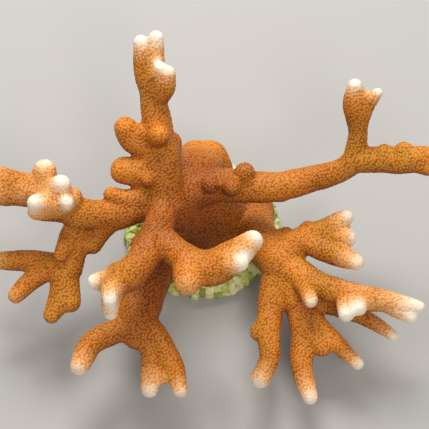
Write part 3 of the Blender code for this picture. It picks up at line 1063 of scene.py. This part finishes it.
# %% Stone material
BARE_PATCH = Vector((11 * MM, 24 * MM, 7 * MM))
BARE_RADIUS = 6 * MM
BARE_FULLY_WITHIN = 0.8 * BARE_RADIUS
BARE_ROCK = (0.9, 0.9, 0.86)
ROCK = [(0.0, (0.23, 0.31, 0.04)), (0.3, (0.56, 0.61, 0.12)), (0.6, (0.86, 0.84, 0.33)),
        (1.0, (0.98, 0.93, 0.60))]
ALGAE = [(0.35, (0.19, 0.32, 0.06)), (0.65, (0.52, 0.66, 0.21))]
ALGAE_RANGE = (0.52, 0.68)
FILM_SCALE = 420
SPECK_SCALE = 1500
SPECK_DEPTH = 0.25 * MM


def make_stone_material():
    """Cream and green gravel with algae, and one bare white patch."""
    material, tree, shader = new_finish("stone_gravel", roughness=0.8)
    place = add_node(tree, "ShaderNodeTexCoord").outputs["Object"]
    rock = colour_ramp(tree, stored_number(tree, "shade"), ROCK)
    speck = noise(tree, place, SPECK_SCALE, detail=3)
    film = rising(tree, noise(tree, place, FILM_SCALE, detail=4), *ALGAE_RANGE)
    covered = mixed(tree, film, rock, colour_ramp(tree, speck, ALGAE))
    from_patch = vector_node(tree, "DISTANCE", {0: place, 1: BARE_PATCH}, output="Value")
    bareness = rising(tree, from_patch, BARE_RADIUS, BARE_FULLY_WITHIN)
    tree.links.new(mixed(tree, bareness, covered, BARE_ROCK), shader.inputs["Base Color"])
    roughen(tree, shader, speck, strength=0.6, depth=SPECK_DEPTH)
    return material


stone.data.materials.clear()
stone.data.materials.append(make_stone_material())
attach(stone, "root")
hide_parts("base_stone")
print("gravel finish on", stone.name)

# %% [markdown]
# ## Floor, light and camera
#
# The stone lies on a plain pale floor. The main light is a wide one above and behind, so the
# tops of the limbs are bright, their undersides fall into red shade, and the shadows have soft
# edges. A weak light on the camera's side and the light of the whole room open the shade. The
# camera looks down steeply with a long lens, as in the photograph.

# %% Floor
FLOOR_SIZE = 6.0
FLOOR_COLOUR = (0.50, 0.51, 0.53, 1)

bpy.ops.object.select_all(action="DESELECT")
bpy.ops.mesh.primitive_plane_add(size=FLOOR_SIZE)
floor = bpy.context.object
floor.name = "floor"
floor_finish, _, floor_shader = new_finish("floor_finish", roughness=0.9)
floor_shader.inputs["Base Color"].default_value = FLOOR_COLOUR
floor.data.materials.append(floor_finish)
floor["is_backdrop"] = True
print("floor", FLOOR_SIZE, "m wide")

# %% Lights
LIGHTS_AIM = Vector((0, -8 * MM, 35 * MM))
ROOM_COLOUR = (1.0, 0.94, 0.84, 1)
ROOM_STRENGTH = 0.4


def add_softbox(name, place, size, power, colour):
    """A square light that faces the coral."""
    facing = (LIGHTS_AIM - Vector(place)).to_track_quat("-Z", "Y").to_euler()
    bpy.ops.object.light_add(type="AREA", location=place, rotation=facing)
    light = bpy.context.object
    light.name = name
    light.data.size = size
    light.data.energy = power
    light.data.color = colour


add_softbox("main_light", place=(-0.04, 0.31, 0.53), size=0.30, power=3.3,
            colour=(1.0, 0.95, 0.86))
add_softbox("camera_side_light", place=(0.12, -0.34, 0.48), size=0.16, power=0.75,
            colour=(1.0, 0.93, 0.82))
world = bpy.data.worlds.new("studio")
bpy.context.scene.world = world
world.use_nodes = True
room_light = world.node_tree.nodes["Background"]
room_light.inputs["Color"].default_value = ROOM_COLOUR
room_light.inputs["Strength"].default_value = ROOM_STRENGTH
print("two softboxes, and a room of strength", ROOM_STRENGTH)

# %% Camera
CAMERA_ELEVATION = math.radians(62)
CAMERA_DISTANCE = 0.510
CAMERA_AIM = Vector((4.3 * MM, -9 * MM, 30 * MM))
CAMERA_LENS = 130
SENSOR_WIDTH = 36
NEAREST_SEEN = 0.01

back = Vector((0, -math.cos(CAMERA_ELEVATION), math.sin(CAMERA_ELEVATION)))
bpy.ops.object.camera_add(location=CAMERA_AIM + back * CAMERA_DISTANCE,
                          rotation=(math.pi / 2 - CAMERA_ELEVATION, 0, 0))
camera = bpy.context.object
camera.data.lens = CAMERA_LENS
camera.data.sensor_width = SENSOR_WIDTH
camera.data.clip_start = NEAREST_SEEN
bpy.context.scene.camera = camera
bpy.context.scene.view_settings.view_transform = "Standard"
print("camera at", [round(v, 3) for v in camera.location], "m")

# %% [markdown]
# ## The size
#
# A finer surface must not change the size of the part, so both boxes are printed for
# comparison.

# %% Size and finish
looks_box = [list(corner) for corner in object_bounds()]
for corner, other in zip(cad_box, looks_box):
    print("frame", [round(v / MM, 2) for v in corner], "looks", [round(v / MM, 2) for v in other])
